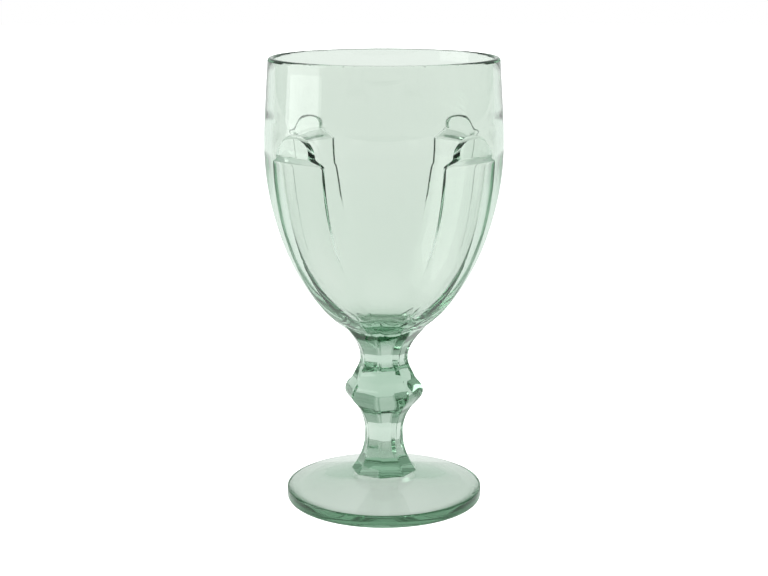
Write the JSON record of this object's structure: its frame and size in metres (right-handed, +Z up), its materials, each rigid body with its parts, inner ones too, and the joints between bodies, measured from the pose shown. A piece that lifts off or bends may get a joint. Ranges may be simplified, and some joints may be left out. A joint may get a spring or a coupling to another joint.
{
  "type": "goblet",
  "caption": "Pressed glass goblet: deep cup with arched flat pads and wide round panels, faceted stem with a knop, and a round foot with an upright edge.",
  "frame": {"origin": "middle of the rest ring's plane under the foot", "axes": "+Z up along the goblet's axis, towards the rim; a wide round panel of the cup faces -Y"},
  "size_m": [0.0866, 0.0866, 0.165],
  "materials": {
    "green_glass": "clear pale green pressed glass, smooth and shiny, darker green where it is thick"
  },
  "bodies": {
    "root": {"foot": "green_glass", "shank": "green_glass", "knop": "green_glass", "neck": "green_glass", "bowl": "green_glass"}
  },
  "joints": []
}
